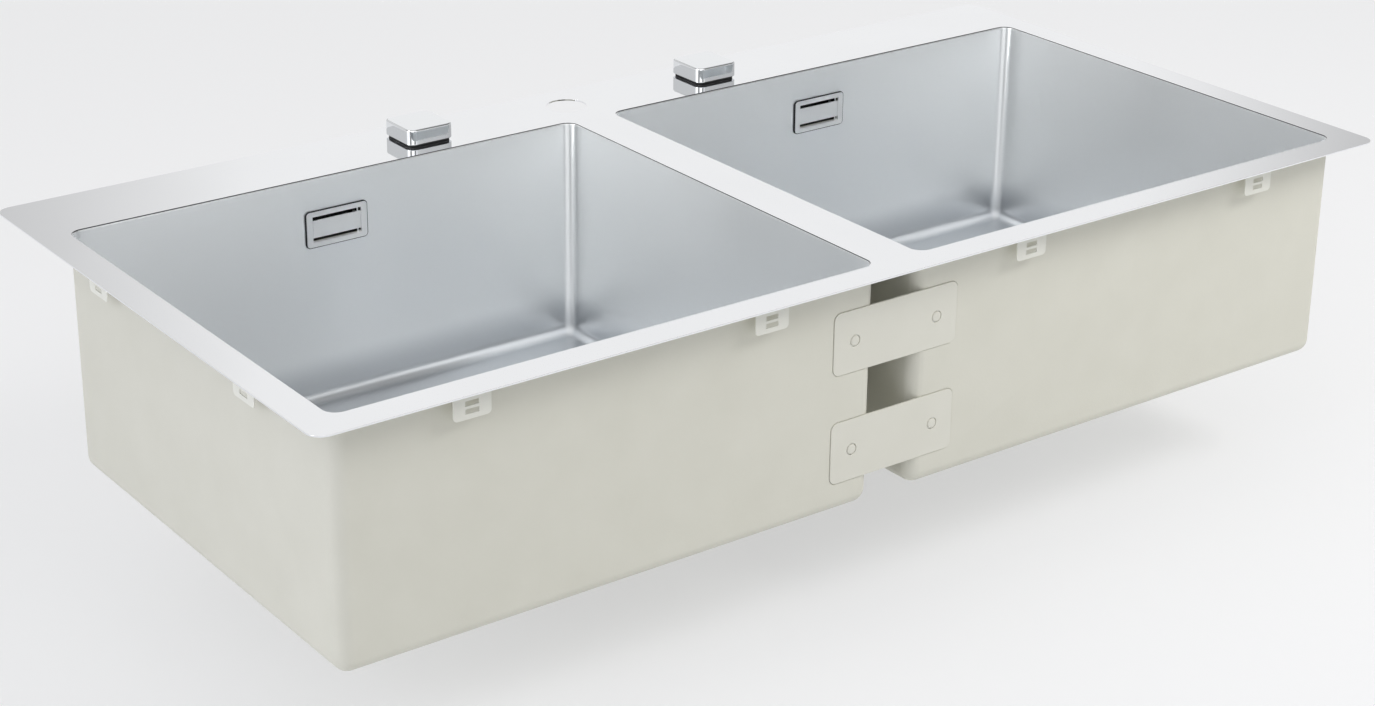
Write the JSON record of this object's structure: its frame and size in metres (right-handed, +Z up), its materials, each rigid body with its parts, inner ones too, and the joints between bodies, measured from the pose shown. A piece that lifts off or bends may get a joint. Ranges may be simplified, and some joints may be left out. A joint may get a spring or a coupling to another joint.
{
  "type": "inset double bowl kitchen sink",
  "caption": "Stainless steel inset kitchen sink with equal bowls side by side, a back ledge with a tap hole, and turning knobs that lift the strainers.",
  "frame": {"origin": "middle of the rim's length and width, on the worktop plane that the foam tape rests on", "axes": "+X along the sink to the right as its user faces it, +Y from the user to the back ledge, +Z up"},
  "size_m": [1.0238, 0.51, 0.3082],
  "materials": {
    "polished_steel": "polished stainless steel",
    "brushed_steel": "silk-finished stainless steel",
    "satin_steel": "satin stainless steel",
    "coated_steel": "cream coating, matt",
    "cream_coat": "sprayed sound-deadening coat, matt and slightly rough",
    "chrome": "bright chrome",
    "black_plastic": "moulded, matt",
    "white_plastic": "moulded polypropylene, matt",
    "black_rubber": "matt rubber",
    "foam_tape": "closed-cell foam"
  },
  "bodies": {
    "sink": {"deck_plate": "polished_steel", "rim_tape": "foam_tape", "brace_plates": "coated_steel", "brace_welds": "coated_steel", "fixing_tabs_front": "coated_steel", "fixing_tabs_back": "coated_steel", "fixing_tabs_left": "coated_steel", "fixing_tabs_right": "coated_steel", "waste_flanges": "polished_steel", "waste_seats": "polished_steel", "flange_seals": "black_rubber", "waste_gaskets": "black_rubber", "waste_ring_nuts": "white_plastic", "waste_collars": "white_plastic", "waste_bodies": "white_plastic", "waste_body_seals": "black_rubber", "overflow_gaskets": "black_rubber", "overflow_housings": "white_plastic", "overflow_pipes": "white_plastic", "knob_housings": "black_plastic", "housing_lids": "black_plastic", "knob_nuts": "black_plastic", "knob_washers": "black_rubber", "bowl_left": "brushed_steel", "sound_coat_left": "cream_coat", "overflow_cover_left": "satin_steel", "bowl_right": "brushed_steel", "sound_coat_right": "cream_coat", "overflow_cover_right": "satin_steel"},
    "knob_left": {"knob_cap_left": "chrome", "knob_insert_left": "black_plastic", "knob_spindle_left": "white_plastic"},
    "lifter_left": {"lifter_pin_left": "white_plastic"},
    "strainer_left": {"strainer_basket_left": "polished_steel", "strainer_seal_left": "black_rubber"},
    "knob_right": {"knob_cap_right": "chrome", "knob_insert_right": "black_plastic", "knob_spindle_right": "white_plastic"},
    "lifter_right": {"lifter_pin_right": "white_plastic"},
    "strainer_right": {"strainer_basket_right": "polished_steel", "strainer_seal_right": "black_rubber"}
  },
  "joints": [
    {"name": "knob_left_turn", "type": "hinge", "parent": "sink", "child": "knob_left", "pos_m": [-0.15, 0.21625, 0], "axis": [0, 0, 1], "range_deg": [0, 90]},
    {"name": "lifter_left_rise", "type": "slide", "parent": "sink", "child": "lifter_left", "axis": [0, 0, 1], "range_m": [0, 0.008]},
    {"name": "strainer_left_lift", "type": "slide", "parent": "lifter_left", "child": "strainer_left", "axis": [0, 0, 1], "range_m": [0, 0.06]},
    {"name": "knob_right_turn", "type": "hinge", "parent": "sink", "child": "knob_right", "pos_m": [0.15, 0.21625, 0], "axis": [0, 0, 1], "range_deg": [0, 90]},
    {"name": "lifter_right_rise", "type": "slide", "parent": "sink", "child": "lifter_right", "axis": [0, 0, 1], "range_m": [0, 0.008]},
    {"name": "strainer_right_lift", "type": "slide", "parent": "lifter_right", "child": "strainer_right", "axis": [0, 0, 1], "range_m": [0, 0.06]}
  ],
  "couplings": [
    {"joint": "lifter_left_rise", "follows": "knob_left_turn", "m_per_rad": 0.00509},
    {"joint": "lifter_right_rise", "follows": "knob_right_turn", "m_per_rad": 0.00509}
  ]
}
